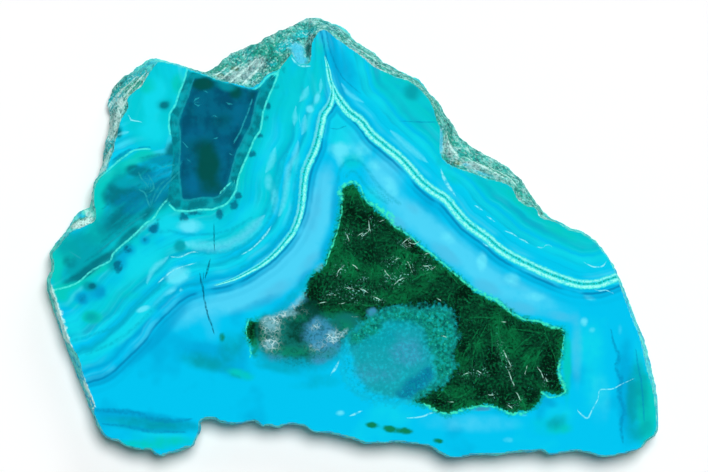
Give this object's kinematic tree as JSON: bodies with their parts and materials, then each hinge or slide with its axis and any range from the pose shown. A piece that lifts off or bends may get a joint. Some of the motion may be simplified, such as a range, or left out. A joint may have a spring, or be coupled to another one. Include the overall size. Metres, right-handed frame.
{
  "type": "banded chrysocolla slice",
  "caption": "Flat polished slice of banded chrysocolla with a dark malachite heart, rough natural rind and a sawn back that lies on a surface.",
  "frame": {"origin": "on the sawn back, under the middle of the slice's box", "axes": "+Z out of the polished face, +X along the slice's length towards the end that the double vein runs out to, +Y towards the peak"},
  "size_m": [0.086, 0.0619, 0.0065],
  "materials": {
    "chrysocolla": "polished on top, natural rind round the edge, sawn below"
  },
  "bodies": {
    "root": {"chrysocolla_slice": "chrysocolla"}
  },
  "joints": []
}
